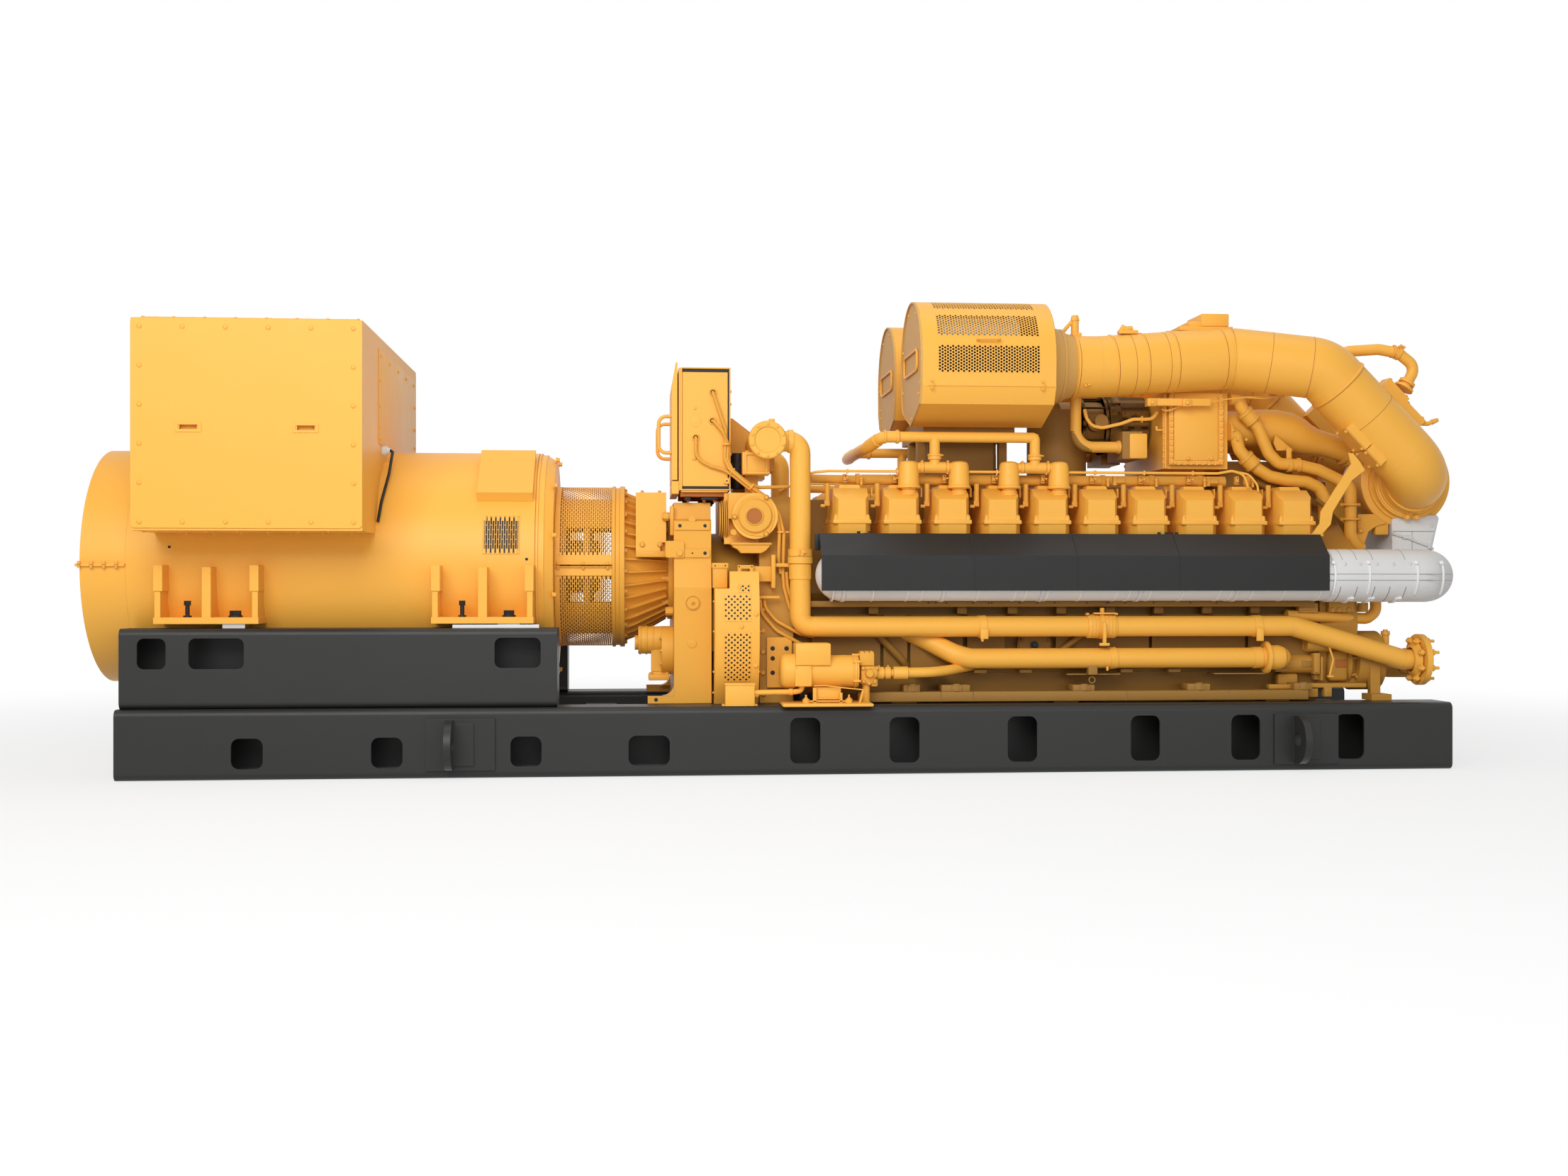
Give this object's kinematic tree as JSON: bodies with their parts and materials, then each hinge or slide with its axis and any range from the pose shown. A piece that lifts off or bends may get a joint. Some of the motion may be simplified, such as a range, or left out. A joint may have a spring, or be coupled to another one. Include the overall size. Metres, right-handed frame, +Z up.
{
  "type": "gas generator set",
  "caption": "Gas engine generator set on a dark box-rail base: round alternator with terminal box, step gearbox, V-engine, twin air filters, intake ducts and lagged exhaust.",
  "frame": {"origin": "middle of the base's underside, on the middle cross member", "axes": "+X along the shaft from the alternator to the engine's front end, -Y is the service side, +Z up"},
  "size_m": [6.631, 1.86, 2.2418],
  "materials": {
    "yellow_paint": "satin enamel",
    "base_paint": "satin dark grey enamel",
    "shim_steel": "bare steel plate",
    "shield_paint": "satin black folded sheet",
    "lagging": "matt aluminised insulation jacket"
  },
  "bodies": {
    "set": {"base_rails": "base_paint", "base_cross_members": "base_paint", "lifting_lugs": "base_paint", "generator_plinths": "base_paint", "levelling_shims": "shim_steel", "generator_feet": "yellow_paint", "generator_barrel": "yellow_paint", "generator_rear_cover": "yellow_paint", "drive_end_ring": "yellow_paint", "inspection_cover": "yellow_paint", "terminal_box": "yellow_paint", "terminal_box_covers": "yellow_paint", "coupling_guard": "yellow_paint", "coupling_adapter": "yellow_paint", "bell_housing": "yellow_paint", "bell_cover": "yellow_paint", "gearbox_case": "yellow_paint", "gearbox_oil_pump": "yellow_paint", "flywheel": "yellow_paint", "flywheel_housing": "yellow_paint", "flywheel_guards": "yellow_paint", "engine_block": "yellow_paint", "oil_pan": "yellow_paint", "cylinder_heads": "yellow_paint", "valve_covers": "yellow_paint", "breathers": "yellow_paint", "exhaust_manifolds": "lagging", "exhaust_shields": "shield_paint", "turbine_housing": "lagging", "compressors": "yellow_paint", "intake_ducts": "yellow_paint", "duct_brackets": "yellow_paint", "air_filters": "yellow_paint", "filter_support": "yellow_paint", "aftercooler": "yellow_paint", "charge_air_pipes": "yellow_paint", "intake_plenum": "yellow_paint", "water_pipes": "yellow_paint", "return_pipes": "yellow_paint", "thermostats": "yellow_paint", "starter_motor": "yellow_paint", "control_panel": "yellow_paint", "panel_bracket": "yellow_paint", "front_housing": "yellow_paint", "water_pumps": "yellow_paint", "prelube_pump": "yellow_paint", "junction_boxes": "yellow_paint"},
    "panel_door": {"control_panel_door": "yellow_paint"}
  },
  "joints": [
    {"name": "panel_door_hinge", "type": "hinge", "parent": "set", "child": "panel_door", "pos_m": [-0.597, 0.084, 1.627], "axis": [0, 0, -1], "range_deg": [0, 110]}
  ]
}
